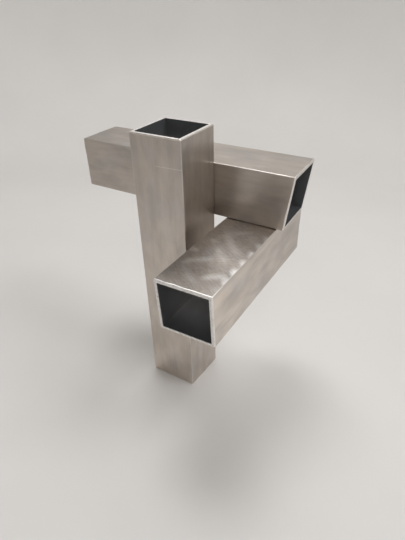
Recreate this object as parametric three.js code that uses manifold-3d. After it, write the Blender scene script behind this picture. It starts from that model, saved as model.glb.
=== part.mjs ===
// Abstract sculpture: three pieces of one square aluminium tube, joined face to face.
// Millimetres, +Z up. The side that the viewer faces is -Y, and +X is the viewer's right.

import * as THREE from 'three';
import { mergeVertices } from 'three/addons/utils/BufferGeometryUtils.js';
import Module from 'manifold-3d';

// The tube stock
const WIDTH = 50.8;
const WALL = 3.175;
const EDGE_CUT = 0.8; // flat on the long outer edges
const END_CUT = 1.2; // filed break around the outside of each sawn end

// Lengths along each tube's centre line
const UPRIGHT_LENGTH = 272.4;
const CROSS_LENGTH = 229.8;
const LOWER_LENGTH = 176.5;

// Where the tubes meet
const CROSS_UNDERSIDE = 187.6; // above the middle of the foot
const CROSS_OVERHANG = 107.3; // past the upright's left face
const LOWER_OVERHANG = 61.6; // past the upright's front face
const LOWER_CLEARANCE = 12.3; // open slit between the upright and the lower tube
const SEAM = 0.3; // between two joined faces

// Angles in degrees
const LEAN = 5; // of the whole work towards the viewer, over a foot cut to suit
const CROSS_RAKE = 7.6; // right end of the cross tube, top edge the longer
const CROSS_SKEW = 1.7; // the same end, front edge the longer
const LOWER_RAKE = 3.9; // front end of the lower tube, top edge the longer
const LOWER_SKEW = 1.5; // the same end, left edge the longer

// Finish
const ALUMINIUM_TINTS = { upright: 0xa09890, cross: 0x8f877f, lower: 0xa8a097 };
const ROUGHNESS = 0.42;
const METALNESS = 0.9;

const wasm = await Module();
wasm.setup();

// How far a sawn end runs along the tube for each millimetre across it
function slope(degrees) {
  return Math.tan(THREE.MathUtils.degToRad(degrees));
}

// A square outline with its four corners cut off, centred on the origin
function cutSquare(width, cut) {
  const outer = width / 2;
  const inner = outer - cut;
  const corner = [new THREE.Vector2(outer, inner), new THREE.Vector2(inner, outer)];
  const centre = new THREE.Vector2();
  const points = [];
  for (let quarter = 0; quarter < 4; quarter += 1) {
    for (const point of corner) {
      points.push(point.clone().rotateAround(centre, quarter * Math.PI / 2));
    }
  }
  return new THREE.Shape(points);
}

function toSolid(geometry) {
  geometry.deleteAttribute('normal');
  geometry.deleteAttribute('uv');
  const welded = mergeVertices(geometry);
  return new wasm.Manifold(new wasm.Mesh({
    numProp: 3,
    vertProperties: Float32Array.from(welded.attributes.position.array),
    triVerts: Uint32Array.from(welded.index.array),
  }));
}

function toGeometry(solid) {
  const { vertProperties, triVerts } = solid.getMesh();
  const geometry = new THREE.BufferGeometry();
  geometry.setAttribute('position', new THREE.BufferAttribute(vertProperties, 3));
  geometry.setIndex(new THREE.BufferAttribute(triVerts, 1));
  return geometry;
}

// A length of tube along z, centred on the origin, open at both ends
function tubeGeometry(length) {
  const bar = new THREE.ExtrudeGeometry(cutSquare(WIDTH, EDGE_CUT), {
    depth: length - 2 * END_CUT,
    bevelThickness: END_CUT,
    bevelSize: END_CUT,
    bevelOffset: -END_CUT,
    bevelSegments: 1,
  });
  bar.translate(0, 0, END_CUT - length / 2);
  const bore = new THREE.BoxGeometry(WIDTH - 2 * WALL, WIDTH - 2 * WALL, length + 2 * WALL);
  return toGeometry(toSolid(bar).subtract(toSolid(bore)));
}

// Slants the two ends of a tube, each by its rise along z per unit of x and of y
function slantEnds(geometry, low, high) {
  const place = geometry.attributes.position;
  for (let i = 0; i < place.count; i += 1) {
    const end = place.getZ(i) < 0 ? low : high;
    place.setZ(i, place.getZ(i) + end.x * place.getX(i) + end.y * place.getY(i));
  }
}

function tube(name, length, tint, low, high) {
  const geometry = tubeGeometry(length);
  slantEnds(geometry, low, high);
  geometry.computeVertexNormals();
  const material = new THREE.MeshStandardMaterial({
    color: tint,
    roughness: ROUGHNESS,
    metalness: METALNESS,
    flatShading: true,
  });
  const mesh = new THREE.Mesh(geometry, material);
  mesh.name = name;
  return mesh;
}

const square = new THREE.Vector2(0, 0);

// The upright stands on its sloping foot, whose middle is the work's own zero point
function uprightTube() {
  const foot = new THREE.Vector2(0, -slope(LEAN));
  const mesh = tube('upright_tube', UPRIGHT_LENGTH, ALUMINIUM_TINTS.upright, foot, square);
  mesh.position.z = UPRIGHT_LENGTH / 2;
  return mesh;
}

// The cross tube runs from left to right, flat on the upright's back face
function crossTube() {
  const rightEnd = new THREE.Vector2(-slope(CROSS_RAKE), -slope(CROSS_SKEW));
  const mesh = tube('cross_tube', CROSS_LENGTH, ALUMINIUM_TINTS.cross, square, rightEnd);
  mesh.rotation.y = Math.PI / 2;
  mesh.position.set(
    CROSS_LENGTH / 2 - CROSS_OVERHANG - WIDTH / 2,
    WIDTH + SEAM,
    CROSS_UNDERSIDE + WIDTH / 2,
  );
  return mesh;
}

// The lower tube runs from front to back, hung flat under the cross tube beside the upright
function lowerTube() {
  const frontEnd = new THREE.Vector2(slope(LOWER_SKEW), slope(LOWER_RAKE));
  const mesh = tube('lower_tube', LOWER_LENGTH, ALUMINIUM_TINTS.lower, frontEnd, square);
  mesh.rotation.x = -Math.PI / 2;
  mesh.position.set(
    WIDTH + LOWER_CLEARANCE,
    LOWER_LENGTH / 2 - LOWER_OVERHANG - WIDTH / 2,
    CROSS_UNDERSIDE - SEAM - WIDTH / 2,
  );
  return mesh;
}

// The joined tubes lean as one, and the origin lies on the ground below the middle of their box
function sculpture() {
  const tubes = new THREE.Group();
  tubes.add(uprightTube(), crossTube(), lowerTube());
  tubes.rotation.x = THREE.MathUtils.degToRad(LEAN);
  const box = new THREE.Box3().setFromObject(tubes, true);
  const middle = box.getCenter(new THREE.Vector3());
  tubes.position.set(-middle.x, -middle.y, -box.min.z);
  const whole = new THREE.Group();
  whole.add(tubes);
  return whole;
}

export default sculpture();
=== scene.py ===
"""Dresses the tube sculpture: three cut lengths of square aluminium tube, joined face to face.

Each tube is one closed mesh with rounded long edges, sawn and filed ends and a black inside.
Lengths are metres.
"""

import math
from collections import namedtuple

import bpy
import numpy as np
from bpy.props import FloatProperty, FloatVectorProperty, PointerProperty
from mathutils import Matrix, Vector


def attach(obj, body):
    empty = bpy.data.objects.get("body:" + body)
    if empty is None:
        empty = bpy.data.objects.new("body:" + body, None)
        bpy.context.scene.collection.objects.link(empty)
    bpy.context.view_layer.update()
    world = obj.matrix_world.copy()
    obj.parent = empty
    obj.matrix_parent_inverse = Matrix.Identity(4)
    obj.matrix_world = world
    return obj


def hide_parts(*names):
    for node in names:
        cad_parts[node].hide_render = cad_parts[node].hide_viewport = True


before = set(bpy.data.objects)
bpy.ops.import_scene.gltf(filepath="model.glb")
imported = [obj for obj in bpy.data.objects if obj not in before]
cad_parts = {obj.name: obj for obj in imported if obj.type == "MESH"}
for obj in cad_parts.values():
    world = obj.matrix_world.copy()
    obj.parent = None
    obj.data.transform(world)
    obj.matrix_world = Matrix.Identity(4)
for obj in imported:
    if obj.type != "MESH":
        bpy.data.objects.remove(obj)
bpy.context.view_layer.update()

bl_info = {
    "name": "Tube Sculpture",
    "version": (1, 0, 0),
    "blender": (4, 5, 0),
    "location": "3D View > Sidebar > Tube Sculpture",
    "description": "Three joined aluminium tubes with sawn ends, and the stage they stand on",
    "category": "Object",
}

MM = 0.001

# How finely the tubes are meshed
SIDE_STEPS = 150
CORNER_STEPS = 6
FLAT_STEPS = 6
ROUND_STEPS = 5
LIP_STEPS = 2
LENGTH_STEPS = 8

# Parts of a tube's surface, in the order of its material slots
SATIN, FILED, SAWN, PAINTED, SANDED = range(5)
# The side that faces local -y, counted round the axis from the one that faces +y
MINUS_Y = 2
# Slope of an end that is cut square
SQUARE = (0.0, 0.0)
# Heading of the saw marks on the ends, from +x
SAW_HEADING = math.radians(38)

# Where marks on a tube begin and are full, in millimetres from its axis
EDGE_BAND = (24.65, 25.1)
SIDE_BAND = (24.6, 25.3)
FRONT_BAND = (-25.0, -25.3)
BORE_CORNER_BAND = (21.5, 22.0)

# Least roughness of the satin faces, how much each unevenness adds to it, and how strongly the brushing
# draws out their reflections
SATIN_ROUGHNESS = 0.28
UNEVEN_ROUGHNESS = 0.1
SATIN_GRAIN = 0.3
# Pits for each millimetre, and their colour
PIT_SCALE = 0.024
DIRT = (0.12, 0.11, 0.10)
# The scratch on the upright: its slope, where it fades in along x, and how bright it is
SCRATCH_SLOPE = 0.03
SCRATCH_FADE = (-4.0, 3.0)
SCRATCH_GAIN = 0.35
# Headings of the two ways of sanding on the lower tube's top, in degrees from +x
FALLING = -34
RISING = 38
# How far in from the ends the painted light inside the bore comes to full strength, in millimetres
BORE_LIGHT_REACH = 75.0


def length_property(name, description, millimetres):
    return FloatProperty(
        name=name, description=description, default=millimetres * MM,
        unit="LENGTH", subtype="DISTANCE", precision=5,
    )


def angle_property(name, description, degrees):
    return FloatProperty(
        name=name, description=description, default=math.radians(degrees), unit="ROTATION", subtype="ANGLE"
    )


def colour_property(name, description, colour):
    return FloatVectorProperty(
        name=name, description=description, default=colour, size=3, min=0.0, max=1.0, subtype="COLOR"
    )


class TubeSizes(bpy.types.PropertyGroup):
    """Sizes that the solids don't give by their boxes"""

    lean: angle_property("Lean", "Tilt of the whole work towards the viewer", 5.0)
    wall: length_property("Wall", "Thickness of the tube's wall", 3.175)
    upright_length: length_property("Upright", "Length of the upright's centre line", 272.4)
    cross_length: length_property("Cross", "Length of the cross tube's centre line", 229.8)
    lower_length: length_property("Lower", "Length of the lower tube's centre line", 176.5)
    cross_rake: angle_property("Cross rake", "Slant of the cross tube's right end, top edge longer", 7.6)
    cross_skew: angle_property("Cross skew", "Slant of the same end, front edge longer", 1.7)
    lower_rake: angle_property("Lower rake", "Slant of the lower tube's front end, top edge longer", 3.9)
    lower_skew: angle_property("Lower skew", "Slant of the same end, left edge longer", 1.5)
    edge_round: length_property("Edge round", "Radius of the long outer edges", 0.8)
    file_round: length_property("Filed round", "Radius filed round the outside of each end", 1.15)
    bore_round: length_property("Bore round", "Radius of the bore's inner corners", 0.5)
    lip: length_property("Lip", "Ragged break on the inner edge of each end", 0.28)
    saw_pitch: length_property("Saw pitch", "Spacing of the saw marks on the ends", 1.5)
    saw_depth: length_property("Saw depth", "Depth of the saw marks on the ends", 0.12)
    scratch: length_property("Scratch", "Distance of the front scratch below the upright's top", 25.0)


class TubeColours(bpy.types.PropertyGroup):
    """Colours of the finishes"""

    warm: colour_property("Warm metal", "Warmer tone of the satin faces", (0.59, 0.528, 0.474))
    cool: colour_property("Cool metal", "Cooler tone of the satin faces", (0.548, 0.510, 0.475))
    # Bright is also the colour of the painted highlights on the long edges and of the painted sheen on the
    # lower tube's top
    bright: colour_property("Bright metal", "Fresh metal on sawn and filed ends", (0.87, 0.855, 0.835))
    paint: colour_property("Paint", "Black paint inside the tubes, near the ends", (0.048, 0.051, 0.054))
    # The grey that painted light mixes into the paint deep inside the bore
    bore_light_grey: colour_property("Thin paint", "The same paint where it is thin", (0.55, 0.54, 0.54))
    floor: colour_property("Floor", "Pale floor and sweep", (0.685, 0.668, 0.648))


class StageView(bpy.types.PropertyGroup):
    """Where the camera stands and how it looks at the work"""

    place: FloatVectorProperty(
        name="Camera", description="Camera position",
        default=(0.22752, -0.31440, 0.34515), subtype="TRANSLATION",
    )
    azimuth: angle_property("Azimuth", "Turn of the camera to the right of the front", 30.41)
    elevation: angle_property("Elevation", "Tilt of the camera below level", 29.35)
    roll: angle_property("Roll", "Turn of the picture in its own plane", 1.5)
    lens: FloatProperty(
        name="Lens", description="Focal length on a 36 mm long side", default=28.97, unit="CAMERA",
    )


# Meshing

def unleaned_box(node, lean):
    """Lowest and highest corner of a solid, measured with the work's lean taken out."""
    upright = Matrix.Rotation(-lean, 3, "X")
    points = np.array([upright @ vertex.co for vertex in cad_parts[node].data.vertices])
    return Vector(points.min(0)), Vector(points.max(0))


def square_ring(half, radius):
    """x and y of points round a square with rounded corners, from its +x side to +y and on."""
    inner = half - radius
    turn = np.linspace(0, math.pi / 2, CORNER_STEPS + 1)
    corner = np.stack([inner + radius * np.cos(turn), inner + radius * np.sin(turn)], 1)
    along = np.linspace(inner, -inner, SIDE_STEPS + 1)[1:-1]
    side = np.stack([along, np.full_like(along, half)], 1)
    quarter = np.concatenate([corner, side])
    quarters = []
    for _ in range(4):
        quarters.append(quarter)
        quarter = np.stack([-quarter[:, 1], quarter[:, 0]], 1)
    return np.concatenate(quarters)


def ripple(count, low, high, random):
    """A smooth closed wave of about -1 to 1, with that range of cycles round a ring."""
    place = np.arange(count) / count
    total = np.zeros(count)
    for cycles in range(low, high):
        total += np.sin(2 * math.pi * (cycles * place + random.random()))
    return np.clip(total / math.sqrt(2 * (high - low)), -1, 1)


def saw_profile(pitch, reach, random):
    """A function that gives the height of straight saw marks, about -1 to 1, at places across them."""
    layers = []
    for share, step in ((0.6, pitch / 2), (0.4, pitch / 5)):
        knots = np.arange(-reach, reach, step)
        layers.append((share, knots, random.uniform(-1, 1, len(knots))))

    def height(place):
        return sum(share * np.interp(place, knots, heights) for share, knots, heights in layers)

    return height


def across_saw(x, y):
    """How far a point on a sawn end lies across its saw marks."""
    return x * math.sin(SAW_HEADING) - y * math.cos(SAW_HEADING)


Ring = namedtuple("Ring", "across along part")


def end_rings(sizes, half, random):
    """One sawn end from the bore outwards.

    A ring's along is counted outwards from the end's plane, and its part is that of the band after it.
    """
    inner = square_ring(half - sizes.wall, sizes.bore_round)
    outer = square_ring(half, sizes.edge_round)
    outwards = (outer - inner) / sizes.wall
    lip = sizes.lip * (1 + 0.8 * ripple(len(inner), 20, 140, random))
    filed = sizes.file_round * (1 + 0.22 * ripple(len(inner), 3, 16, random))
    flat = sizes.wall - lip - filed
    marks = saw_profile(sizes.saw_pitch, 2 * half, random)
    rings = []
    for step in range(LIP_STEPS):
        turn = step / LIP_STEPS * math.pi / 2
        across = inner + outwards * (lip * (1 - math.cos(turn)))[:, None]
        rings.append(Ring(across, lip * (math.sin(turn) - 1), PAINTED))
    for step in range(FLAT_STEPS):
        across = inner + outwards * (lip + flat * step / FLAT_STEPS)[:, None]
        rings.append(Ring(across, sizes.saw_depth * (marks(across_saw(*across.T)) - 1) / 2, SAWN))
    for step in range(ROUND_STEPS + 1):
        turn = step / ROUND_STEPS * math.pi / 2
        across = outer - outwards * (filed * (1 - math.sin(turn)))[:, None]
        rings.append(Ring(across, filed * (math.cos(turn) - 1), FILED))
    return rings


def rings_between(first, last):
    """Evenly spaced rings from one to another, without those two."""
    return [first + (last - first) * step / LENGTH_STEPS for step in range(1, LENGTH_STEPS)]


def tube_mesh(name, half, length, low, high, sizes, seed, sanded_side=None):
    """A closed tube along z about the origin.

    low and high are the slopes of its ends: the rise along z per unit of x and of y.
    """
    random = np.random.default_rng(seed)
    low_end = end_rings(sizes, half, random)
    high_end = end_rings(sizes, half, random)

    def placed(ring, side, slope):
        along = side * (length / 2 + ring.along) + ring.across @ np.array(slope)
        return np.column_stack([ring.across, along])

    low_rings = [placed(ring, -1, low) for ring in low_end]
    high_rings = [placed(ring, 1, high) for ring in high_end]
    bore = [low_rings[0], *rings_between(low_rings[0], high_rings[0])]
    outside = [high_rings[-1], *rings_between(high_rings[-1], low_rings[-1])]
    points = [*bore, *high_rings[:-1], *outside, *reversed(low_rings[1:])]
    parts = [PAINTED] * len(bore)
    parts += [ring.part for ring in high_end[:-1]]
    parts += [SATIN] * len(outside)
    parts += [ring.part for ring in reversed(low_end[:-1])]
    return ring_mesh(name, points, parts, sanded_side)


def ring_mesh(name, points, parts, sanded_side):
    """Joins rings, each to the next and the last to the first, into one mesh with a part for each face."""
    rings, count = len(points), len(points[0])
    ring, place = np.meshgrid(np.arange(rings), np.arange(count), indexing="ij")
    after, beside = (ring + 1) % rings, (place + 1) % count
    corners = [ring * count + place, after * count + place, after * count + beside, ring * count + beside]
    faces = np.stack(corners, -1).reshape(-1, 4)
    mesh = bpy.data.meshes.new(name)
    mesh.from_pydata(np.concatenate(points).tolist(), [], faces.tolist())
    part = np.repeat(parts, count)
    if sanded_side is not None:
        quarter = count // 4
        on_side = (place // quarter == sanded_side) & (place % quarter >= CORNER_STEPS)
        part[(part == SATIN) & on_side.ravel()] = SANDED
    mesh.polygons.foreach_set("material_index", part.astype(np.int32))
    mesh.polygons.foreach_set("use_smooth", np.ones(len(faces), bool))
    mesh.update()
    return mesh


# Finishes

class Wire:
    """A socket's value on its way through a material, with the arithmetic that the finishes use."""

    def __init__(self, finish, socket):
        self.finish = finish
        self.socket = socket

    def math(self, operation, *values):
        return self.finish.node("ShaderNodeMath", {"operation": operation}, dict(enumerate(values)))

    def __add__(self, other):
        return self.math("ADD", self, other)

    def __radd__(self, other):
        return self.math("ADD", other, self)

    def __sub__(self, other):
        return self.math("SUBTRACT", self, other)

    def __rsub__(self, other):
        return self.math("SUBTRACT", other, self)

    def __mul__(self, other):
        return self.math("MULTIPLY", self, other)

    def __rmul__(self, other):
        return self.math("MULTIPLY", other, self)

    def __truediv__(self, other):
        return self.math("DIVIDE", self, other)

    def __rtruediv__(self, other):
        return self.math("DIVIDE", other, self)

    def __pow__(self, other):
        return self.math("POWER", self, other)

    def __abs__(self):
        return self.math("ABSOLUTE", self)

    def least(self, other):
        return self.math("MINIMUM", self, other)

    def fraction(self):
        return self.math("FRACT", self)

    def between(self, low, high):
        """0 at low and 1 at high, eased and held outside."""
        settings = {"interpolation_type": "SMOOTHSTEP"}
        sockets = {"Value": self, "From Min": low, "From Max": high}
        return self.finish.node("ShaderNodeMapRange", settings, sockets)


class Finish:
    """A material being made: its nodes and its one surface shader."""

    def __init__(self, name, **constants):
        self.material = bpy.data.materials.new(name)
        self.material.use_nodes = True
        self.tree = self.material.node_tree
        self.shader = self.tree.nodes["Principled BSDF"]
        for socket, value in constants.items():
            self.shader.inputs[socket.replace("_", " ")].default_value = value

    def set(self, socket, value):
        if isinstance(value, Wire):
            self.tree.links.new(value.socket, socket)
        elif socket.type == "RGBA":
            socket.default_value = (*value, 1.0)
        else:
            socket.default_value = value

    def node(self, kind, settings, sockets, output=0):
        made = self.tree.nodes.new(kind)
        for name, value in settings.items():
            setattr(made, name, value)
        for name, value in sockets.items():
            self.set(made.inputs[name], value)
        return Wire(self, made.outputs[output])

    def shade(self, socket, value):
        self.set(self.shader.inputs[socket], value)

    def place(self):
        """x, y and z in the tube's own frame, in millimetres, with z along the tube."""
        point = self.node("ShaderNodeTexCoord", {}, {}, "Object")
        scaled = self.node("ShaderNodeVectorMath", {"operation": "SCALE"}, {"Vector": point, "Scale": 1 / MM})
        return [self.node("ShaderNodeSeparateXYZ", {}, {"Vector": scaled}, axis) for axis in "XYZ"]

    def point(self, x, y, z):
        return self.node("ShaderNodeCombineXYZ", {}, {"X": x, "Y": y, "Z": z})

    def noise(self, x, y, z, detail=2.0, roughness=0.5, distortion=0.0):
        """Soft noise of about 0 to 1, one blot to each unit of the values given."""
        sockets = {"Vector": self.point(x, y, z), "Scale": 1.0, "Detail": detail, "Roughness": roughness}
        return self.node("ShaderNodeTexNoise", {}, {**sockets, "Distortion": distortion}, "Fac")

    def mix(self, share, first, second):
        """A colour between two, at that share of the second."""
        settings = {"data_type": "RGBA"}
        return self.node("ShaderNodeMix", settings, {0: share, 6: first, 7: second}, 2)

    def dim(self, colour, share):
        """That share of a colour, which may be more than all of it."""
        return self.node("ShaderNodeVectorMath", {"operation": "SCALE"}, {"Vector": colour, "Scale": share})

    def bump(self, height, distance):
        sockets = {"Height": height, "Distance": distance, "Strength": 1.0}
        self.shade("Normal", self.node("ShaderNodeBump", {}, sockets))


Look = namedtuple("Look", "seed wear edge mottle sides filed thin bare_corner")
# For each tube: where its noise starts; the tone of its faces at the low and the high end, with painted light
# and shade making them lighter or darker along the tube; the painted highlight on its long edges, partly edge
# wear, at the low and the high end; how strong its smudges are; how much painted shade darkens its faces
# across x; how bright its sawn and filed ends are; how much painted light greys the paint deep inside; and
# how strong the painted highlight along the bore's inner corners is
UPRIGHT_LOOK = Look(
    seed=3.0, wear=(1.28, 0.98), edge=(0.6, 0.2), mottle=0.20,
    sides=0.14, filed=0.45, thin=1.0, bare_corner=0.05,
)
CROSS_LOOK = Look(
    seed=17.0, wear=(0.93, 0.93), edge=(0.35, 0.35), mottle=0.22,
    sides=0.03, filed=0.7, thin=0.35, bare_corner=0.05,
)
LOWER_LOOK = Look(
    seed=43.0, wear=(1.30, 0.90), edge=(0.6, 0.6), mottle=0.29,
    sides=0.0, filed=1.0, thin=1.2, bare_corner=0.9,
)


class Brushed:
    """The start of a metal face: its finish, the place on it, and four kinds of unevenness of 0 to 1."""

    def __init__(self, name, seed, anisotropic):
        self.metal = Finish(name, Metallic=1.0, Anisotropic=anisotropic)
        noise = self.metal.noise
        x, y, z = self.metal.place()
        self.place = x, y, z
        self.hair = noise(x * 0.9 + seed, y * 0.9, z * 0.03)
        self.streak = noise(x * 0.25 + seed, y * 0.25, z * 0.018 + seed)
        self.cloud = noise(x * 0.035, y * 0.035 + seed, z * 0.022, detail=4.0, roughness=0.6, distortion=0.4)
        self.smudge = noise(x * 0.08 + 2 * seed, y * 0.08, z * 0.03, detail=4.0, distortion=0.3)

    def tone(self, colours):
        return self.metal.mix(self.cloud.between(0.42, 0.66), colours.warm, colours.cool)

    def graded(self, ends, length):
        """From the first value at the tube's low end to the second at its high end."""
        return ends[0] + (ends[1] - ends[0]) * (self.place[2] / (length / MM) + 0.5)


def satin_finish(name, colours, look, length, scratch_height):
    """Brushed faces with smudges and a few pits, painted light and shade graded along the tube, painted shade
    on the faces across x, and a painted highlight on the long edges that is partly edge wear.
    """
    face = Brushed(name, look.seed, SATIN_GRAIN)
    metal, (x, y, z) = face.metal, face.place
    smudge = face.smudge.between(0.22, 0.78) - 0.5
    shade = 0.75 + 0.10 * face.hair + 0.14 * face.streak + look.mottle * smudge
    # Painted light and shade: the graded factor lightens or darkens the faces along the tube, and the sides
    # term darkens the faces across x
    shade = shade * face.graded(look.wear, length) * (1.0 - look.sides * abs(x).between(*SIDE_BAND))
    tone = metal.dim(face.tone(colours), shade)
    sockets = {"Vector": metal.point(x, y, z), "Scale": PIT_SCALE}
    pit = metal.node("ShaderNodeTexVoronoi", {}, sockets, "Distance")
    tone = metal.mix(pit.between(0.014, 0.006) * 0.6, tone, DIRT)
    if scratch_height is not None:
        line = abs(z - scratch_height / MM - SCRATCH_SLOPE * x).between(0.5, 0.1)
        on_front = x.between(*SCRATCH_FADE) * y.between(*FRONT_BAND)
        tone = metal.mix(line * on_front * SCRATCH_GAIN, tone, colours.bright)
    # Painted highlight on the long edges, partly edge wear, graded along the tube
    edge = abs(x).least(abs(y)).between(*EDGE_BAND) * face.graded(look.edge, length)
    metal.shade("Base Color", metal.mix(edge, tone, colours.bright))
    uneven = face.hair + face.cloud + face.smudge
    metal.shade("Roughness", SATIN_ROUGHNESS * (1.0 + UNEVEN_ROUGHNESS * uneven))
    metal.bump(face.streak + face.smudge, 0.01 * MM)
    return metal.material


Stroke = namedtuple("Stroke", "x z heading bend reach width gain")
# Sanding strokes on the lower tube's top face, each shown as a painted sheen: middle, heading from +x in
# degrees, bend radius, half length and half width in millimetres, and how bright its painted sheen shows
SANDING_SHEEN_STROKES = (
    Stroke(1, -16, -46, 90, 30, 3.2, 0.26),
    Stroke(2, -36, -46, 70, 19, 3.0, 0.22),
    Stroke(-10, -51, 38, -70, 18, 3.2, 0.30),
    Stroke(13, -66, 36, -60, 13, 3.2, 0.34),
    Stroke(3, 6, 40, -50, 12, 2.4, 0.20),
    Stroke(-23, -39, -10, 60, 9, 3.4, 0.36),
    Stroke(-14, -19, -40, 50, 6, 3.0, 0.24),
    Stroke(-4, -74, -36, 60, 18, 3.0, 0.14),
    Stroke(14, -2, -48, 60, 16, 2.6, 0.12),
)
# Spacing of the painted highlights in scallops along that face's right edge, in millimetres
FLASH_PITCH = 14.7


def distance(x, z, point):
    """How far a place on the top face is from a point on it."""
    return ((x - point[0]) ** 2.0 + (z - point[1]) ** 2.0) ** 0.5


def stroke_sheen(x, z, stroke):
    """The stroke's painted sheen at its gain along its curved middle, fading to its sides and ends."""
    heading = math.radians(stroke.heading)
    centre = (stroke.x - stroke.bend * math.sin(heading), stroke.z + stroke.bend * math.cos(heading))
    beside = abs(distance(x, z, centre) - abs(stroke.bend)).between(stroke.width * 2, 0.0)
    along = distance(x, z, (stroke.x, stroke.z)).between(stroke.reach, stroke.reach * 0.3)
    return beside * along * stroke.gain


def edge_highlights(x, z, scratch):
    """Painted highlights in scallops where the sanding ran over the right long edge."""
    step = ((z + 0.6 * x - 14.0 + 3.0 * scratch) / FLASH_PITCH).fraction()
    scallop = 0.25 + 3.0 * step * (1.0 - step)
    # Painted highlight along the right edge, in scallops
    flash = (x + 7.0 * scallop).between(24.5, 32.0) * scallop * (0.2 + 0.85 * scratch)
    return flash * z.between(-88.0, -56.0) * z.between(24.0, 0.0)


def scratches(metal, x, z, degrees, seed):
    """Fine straight scratches at that heading from +x."""
    slant = math.radians(degrees)
    along = x * math.cos(slant) + z * math.sin(slant)
    across = z * math.cos(slant) - x * math.sin(slant)
    return metal.noise(along * 0.11, across * 0.8, seed, detail=3.0, roughness=0.65)


def sanded_finish(name, colours, look):
    """The lower tube's top face, sanded by hand in crossing strokes, with a painted sheen along the strokes,
    painted highlights on its edges and painted shade darker towards its front end.
    """
    face = Brushed(name, look.seed, 0.0)
    metal, (x, _, z) = face.metal, face.place
    falling = scratches(metal, x, z, FALLING, look.seed)
    rising = scratches(metal, x, z, RISING, look.seed)
    # Painted sheen along the sanding strokes, broken up by the scratches, with painted highlights on the
    # right edge
    sheen = 0.0
    for stroke in SANDING_SHEEN_STROKES:
        sheen = sheen + stroke_sheen(x, z, stroke)
    sheen = sheen * (0.7 * falling + 0.7 * rising + 0.3 * face.smudge) + edge_highlights(x, z, falling)
    # The last factor is painted shade, darker towards the front end of the face
    shade = (0.10 + 0.68 * falling + 0.52 * rising + 0.22 * face.smudge) * (0.98 + 0.0056 * z)
    tone = metal.dim(face.tone(colours), shade)
    tone = metal.mix(sheen, tone, colours.bright)
    # Painted highlight on the long edges, partly edge wear
    metal.shade("Base Color", metal.mix(abs(x).between(*EDGE_BAND) * 0.5, tone, colours.bright))
    metal.shade("Roughness", 0.30 + 0.12 * falling + 0.10 * sheen)
    metal.bump(2.0 * falling + 1.5 * rising, 0.03 * MM)
    return metal.material


def filed_finish(name, colours, look):
    """Bright scuffed metal on the filed edges of the ends."""
    metal = Finish(name, Metallic=1.0)
    x, y, z = metal.place()
    scuff = metal.noise(x * 0.9, y * 0.9, z * 0.9, detail=4.0, roughness=0.7)
    metal.shade("Base Color", metal.mix(scuff.between(0.25, 0.55) * look.filed, colours.warm, colours.bright))
    metal.shade("Roughness", 0.28 + 0.20 * scuff)
    metal.bump(scuff, 0.10 * MM)
    return metal.material


def sawn_finish(name, colours, look):
    """Bright metal with saw marks and some dark grit on the flat of the ends."""
    metal = Finish(name, Metallic=1.0)
    x, y, z = metal.place()
    mark = metal.noise(across_saw(x, y) * 0.6, 0.0, 3.0, roughness=0.6)
    grit = metal.noise(x * 1.1, y * 1.1, z * 1.1, detail=4.0, roughness=0.7)
    tone = metal.mix(mark.between(0.32, 0.58) * look.filed, colours.cool, colours.bright)
    metal.shade("Base Color", metal.mix(grit.between(0.5, 0.3) * 0.65, tone, DIRT))
    metal.shade("Roughness", 0.40 + 0.25 * grit)
    metal.bump(mark + 0.4 * grit, 0.12 * MM)
    return metal.material


def painted_finish(name, colours, look, length):
    """Black paint inside the tube, with painted light that greys it towards the middle of the tube and a
    painted highlight along the bore's inner corners.
    """
    paint = Finish(name, Metallic=0.0)
    x, y, z = paint.place()
    peel = paint.noise(x * 0.9, y * 0.9, z * 0.9)
    dust_and_bore_light = paint.noise(x * 0.12, y * 0.12, z * 0.05, detail=5.0, roughness=0.7)
    # Painted light: the paint greys towards the middle of the tube, deep inside the bore
    thin = (length / 2 / MM - abs(z)).between(0.0, BORE_LIGHT_REACH)
    tone = paint.mix(thin * look.thin * (0.75 + 0.5 * dust_and_bore_light), colours.paint, colours.bore_light_grey)
    # Painted highlight along the bore's inner corners, growing with the painted light deeper in
    corner = abs(x).least(abs(y)).between(*BORE_CORNER_BAND)
    paint.shade("Base Color", paint.mix(corner * thin * look.bare_corner, tone, colours.cool))
    paint.shade("Roughness", 0.45 + 0.25 * dust_and_bore_light)
    paint.bump(peel, 0.03 * MM)
    return paint.material


def finish_tube(mesh, colours, look, length, scratch_height=None, sanded=False):
    """Gives a tube its materials, in the order of its parts."""
    name = mesh.name
    mesh.materials.append(satin_finish(name + "_satin", colours, look, length, scratch_height))
    mesh.materials.append(filed_finish(name + "_filed", colours, look))
    mesh.materials.append(sawn_finish(name + "_sawn", colours, look))
    mesh.materials.append(painted_finish(name + "_paint", colours, look, length))
    if sanded:
        mesh.materials.append(sanded_finish(name + "_sanded", colours, look))


def set_piece(name, mesh, lean, centre, turn, node):
    """Puts a tube where its solid is, leaning with the rest of the work."""
    piece = bpy.data.objects.new(name, mesh)
    bpy.context.scene.collection.objects.link(piece)
    piece.matrix_world = Matrix.Rotation(lean, 4, "X") @ Matrix.Translation(centre) @ turn
    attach(piece, "root")
    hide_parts(node)


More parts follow.
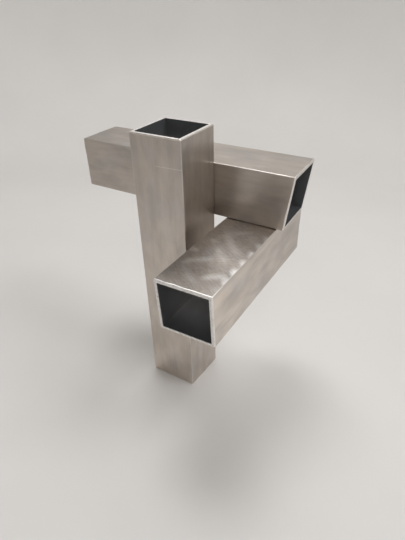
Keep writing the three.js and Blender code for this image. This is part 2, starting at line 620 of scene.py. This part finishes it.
class TUBE_OT_upright(bpy.types.Operator):
    """Make the upright tube, standing on its sloping foot"""

    bl_idname = "tube_sculpture.upright"
    bl_label = "Upright Tube"

    def execute(self, context):
        sizes, colours = context.scene.tube_sizes, context.scene.tube_colours
        low, high = unleaned_box("upright_tube", sizes.lean)
        half = (high.x - low.x) / 2
        foot = (0.0, -math.tan(sizes.lean))
        mesh = tube_mesh("upright", half, sizes.upright_length, foot, SQUARE, sizes, seed=11)
        scratch_height = sizes.upright_length / 2 - sizes.scratch
        finish_tube(mesh, colours, UPRIGHT_LOOK, sizes.upright_length, scratch_height)
        centre = ((low.x + high.x) / 2, (low.y + high.y) / 2, high.z - sizes.upright_length / 2)
        set_piece("upright", mesh, sizes.lean, centre, Matrix(), "upright_tube")
        return {"FINISHED"}


class TUBE_OT_cross(bpy.types.Operator):
    """Make the cross tube, flat on the upright's back face"""

    bl_idname = "tube_sculpture.cross"
    bl_label = "Cross Tube"

    def execute(self, context):
        sizes, colours = context.scene.tube_sizes, context.scene.tube_colours
        low, high = unleaned_box("cross_tube", sizes.lean)
        half = (high.z - low.z) / 2
        right = (-math.tan(sizes.cross_rake), -math.tan(sizes.cross_skew))
        mesh = tube_mesh("cross", half, sizes.cross_length, SQUARE, right, sizes, seed=23)
        finish_tube(mesh, colours, CROSS_LOOK, sizes.cross_length)
        centre = (low.x + sizes.cross_length / 2, (low.y + high.y) / 2, (low.z + high.z) / 2)
        turn = Matrix.Rotation(math.pi / 2, 4, "Y")
        set_piece("cross", mesh, sizes.lean, centre, turn, "cross_tube")
        return {"FINISHED"}


class TUBE_OT_lower(bpy.types.Operator):
    """Make the lower tube, hung under the cross tube, with its hand-sanded top"""

    bl_idname = "tube_sculpture.lower"
    bl_label = "Lower Tube"

    def execute(self, context):
        sizes, colours = context.scene.tube_sizes, context.scene.tube_colours
        low, high = unleaned_box("lower_tube", sizes.lean)
        half = (high.x - low.x) / 2
        front = (math.tan(sizes.lower_skew), math.tan(sizes.lower_rake))
        length = sizes.lower_length
        mesh = tube_mesh("lower", half, length, front, SQUARE, sizes, seed=37, sanded_side=MINUS_Y)
        finish_tube(mesh, colours, LOWER_LOOK, sizes.lower_length, sanded=True)
        centre = ((low.x + high.x) / 2, high.y - sizes.lower_length / 2, (low.z + high.z) / 2)
        turn = Matrix.Rotation(-math.pi / 2, 4, "X")
        set_piece("lower", mesh, sizes.lean, centre, turn, "lower_tube")
        return {"FINISHED"}


# Stage

FLOOR_REACH = 0.8
SWEEP_ROUND = 0.5
SWEEP_HEIGHT = 1.6
SWEEP_SIDES = 96
SWEEP_STEPS = 16
Lamp = namedtuple("Lamp", "name place size power")
LAMPS = (
    Lamp("overhead", (-0.30, 0.20, 1.6), 0.5, 9.1),
    Lamp("right", (1.0, 0.2, 1.4), 0.7, 9.4),
    Lamp("back", (-0.2, 1.0, 1.5), 0.7, 2.7),
    Lamp("left_back", (-0.6, 0.7, 1.3), 0.6, 1.9),
    Lamp("front", (0.6, -1.0, 1.0), 0.6, 3.8),
)
SKY = 0.01
SKY_COLOUR = (1.0, 0.985, 0.965, 1.0)
SENSOR = 36.0
# How much darker the floor's clouds are, how much painted shade darkens its wall, and over what height that
# painted shade comes in, in millimetres
FLOOR_CLOUD = 0.1
WALL_PAINTED_SHADE = 0.09
WALL_RISE = (20.0, 350.0)


def sweep_mesh():
    """A round floor that curves up into a wall all round."""
    profile = [(0.0, 0.0)]
    for step in range(SWEEP_STEPS + 1):
        turn = step / SWEEP_STEPS * math.pi / 2
        profile.append((FLOOR_REACH + SWEEP_ROUND * math.sin(turn), SWEEP_ROUND * (1 - math.cos(turn))))
    profile.append((FLOOR_REACH + SWEEP_ROUND, SWEEP_HEIGHT))
    points, faces = [(0.0, 0.0, 0.0)], []
    for radius, height in profile[1:]:
        for side in range(SWEEP_SIDES):
            turn = side / SWEEP_SIDES * 2 * math.pi
            points.append((radius * math.cos(turn), radius * math.sin(turn), height))
    for side in range(SWEEP_SIDES):
        beside = (side + 1) % SWEEP_SIDES
        faces.append((0, 1 + side, 1 + beside))
        for row in range(len(profile) - 2):
            below, above = 1 + row * SWEEP_SIDES, 1 + (row + 1) * SWEEP_SIDES
            faces.append((below + side, above + side, above + beside, below + beside))
    mesh = bpy.data.meshes.new("floor")
    mesh.from_pydata(points, [], faces)
    mesh.polygons.foreach_set("use_smooth", np.ones(len(faces), bool))
    return mesh


def floor_finish(colours):
    """Plain pale board, faintly cloudy, with painted shade making it a little darker where it rises."""
    board = Finish("floor_board", Roughness=0.6)
    x, y, z = board.place()
    tone = board.noise(x * 0.004, y * 0.004, z * 0.004, detail=3.0)
    shade = 1.0 - FLOOR_CLOUD * tone - WALL_PAINTED_SHADE * z.between(*WALL_RISE)
    board.shade("Base Color", board.dim(colours.floor, shade))
    return board.material


class TUBE_OT_stage(bpy.types.Operator):
    """Make the pale floor, the soft lights and the camera"""

    bl_idname = "tube_sculpture.stage"
    bl_label = "Stage"

    def execute(self, context):
        scene, view = context.scene, context.scene.stage_view
        floor = bpy.data.objects.new("floor", sweep_mesh())
        floor.data.materials.append(floor_finish(scene.tube_colours))
        scene.collection.objects.link(floor)
        for lamp in LAMPS:
            light = bpy.data.lights.new(lamp.name, "AREA")
            light.size = lamp.size
            light.energy = lamp.power
            holder = bpy.data.objects.new(lamp.name, light)
            holder.location = lamp.place
            holder.rotation_euler = (-Vector(lamp.place)).to_track_quat("-Z", "Y").to_euler()
            scene.collection.objects.link(holder)
        scene.world = bpy.data.worlds.new("soft_sky")
        scene.world.use_nodes = True
        background = scene.world.node_tree.nodes["Background"]
        background.inputs["Color"].default_value = SKY_COLOUR
        background.inputs["Strength"].default_value = SKY
        camera = bpy.data.cameras.new("camera")
        camera.sensor_width = SENSOR
        camera.lens = view.lens
        camera.clip_start = 0.01
        eye = bpy.data.objects.new("camera", camera)
        turns = ((view.azimuth, "Z"), (math.pi / 2 - view.elevation, "X"), (view.roll, "Z"))
        eye.matrix_world = Matrix.Translation(view.place)
        for angle, axis in turns:
            eye.matrix_world = eye.matrix_world @ Matrix.Rotation(angle, 4, axis)
        scene.collection.objects.link(eye)
        scene.camera = eye
        scene.view_settings.view_transform = "Standard"
        return {"FINISHED"}


class TUBE_PT_panel(bpy.types.Panel):
    """Lists what the sculpture is made of"""

    bl_idname = "TUBE_PT_panel"
    bl_label = "Tube Sculpture"
    bl_space_type = "VIEW_3D"
    bl_region_type = "UI"
    bl_category = "Tube Sculpture"

    def draw(self, context):
        for operator in OPERATORS:
            self.layout.operator(operator.bl_idname)
        for group in (context.scene.tube_sizes, context.scene.tube_colours, context.scene.stage_view):
            column = self.layout.column()
            for name in group.__annotations__:
                column.prop(group, name)


GROUPS = {"tube_sizes": TubeSizes, "tube_colours": TubeColours, "stage_view": StageView}
OPERATORS = (TUBE_OT_upright, TUBE_OT_cross, TUBE_OT_lower, TUBE_OT_stage)


def register():
    for kind in (*GROUPS.values(), *OPERATORS, TUBE_PT_panel):
        bpy.utils.register_class(kind)
    for name, group in GROUPS.items():
        setattr(bpy.types.Scene, name, PointerProperty(type=group))


def unregister():
    for name in GROUPS:
        delattr(bpy.types.Scene, name)
    for kind in reversed((*GROUPS.values(), *OPERATORS, TUBE_PT_panel)):
        bpy.utils.unregister_class(kind)


def main():
    register()
    bpy.ops.tube_sculpture.upright()
    bpy.ops.tube_sculpture.cross()
    bpy.ops.tube_sculpture.lower()
    bpy.ops.tube_sculpture.stage()


if __name__ == "__main__":
    main()
